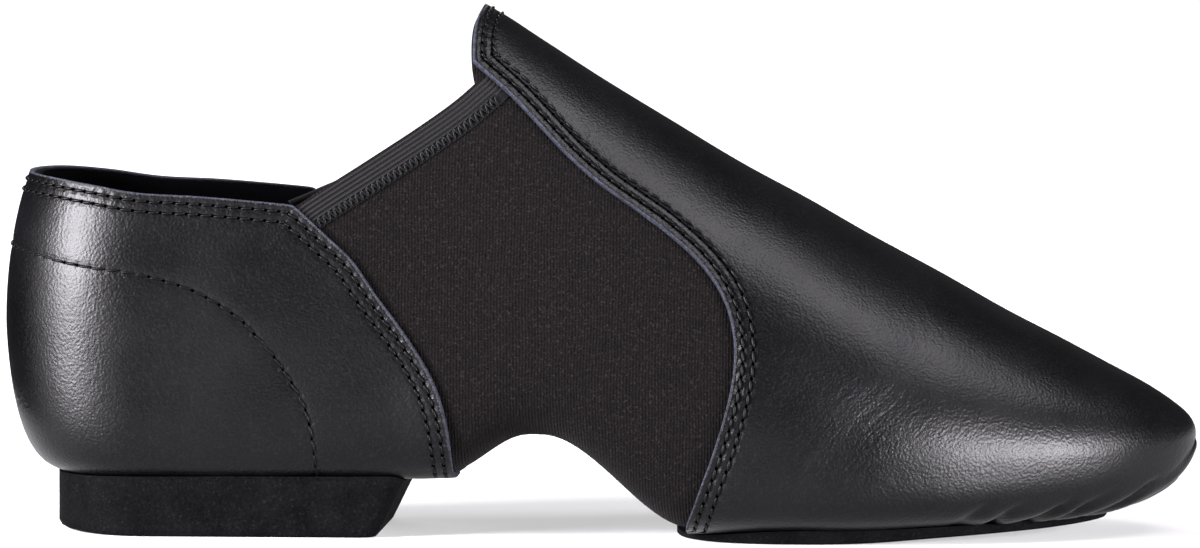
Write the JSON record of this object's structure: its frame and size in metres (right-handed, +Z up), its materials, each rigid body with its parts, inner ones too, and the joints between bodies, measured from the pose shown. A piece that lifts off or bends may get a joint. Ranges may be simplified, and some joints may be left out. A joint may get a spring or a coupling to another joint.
{
  "type": "jazz shoe",
  "caption": "Black slip-on jazz shoe for the right foot: leather vamp and heel quarter over a stretch gore, ribbed elastic at the opening, split sole with a low heel block",
  "frame": {"origin": "on the floor, under the middle of the shoe's box", "axes": "+X towards the toe, +Y towards the inner side of the right foot, +Z up"},
  "size_m": [0.252, 0.0886, 0.1112],
  "materials": {
    "leather": "satin",
    "knit": "matte",
    "elastic": "matte",
    "rubber": "matte",
    "lining": "matte"
  },
  "bodies": {
    "root": {"upper": "knit", "vamp": "leather", "counter": "leather", "elastic_band_outer": "elastic", "elastic_band_inner": "elastic", "outsole_forefoot": "rubber", "heel": "rubber", "insole": "lining"}
  },
  "joints": []
}
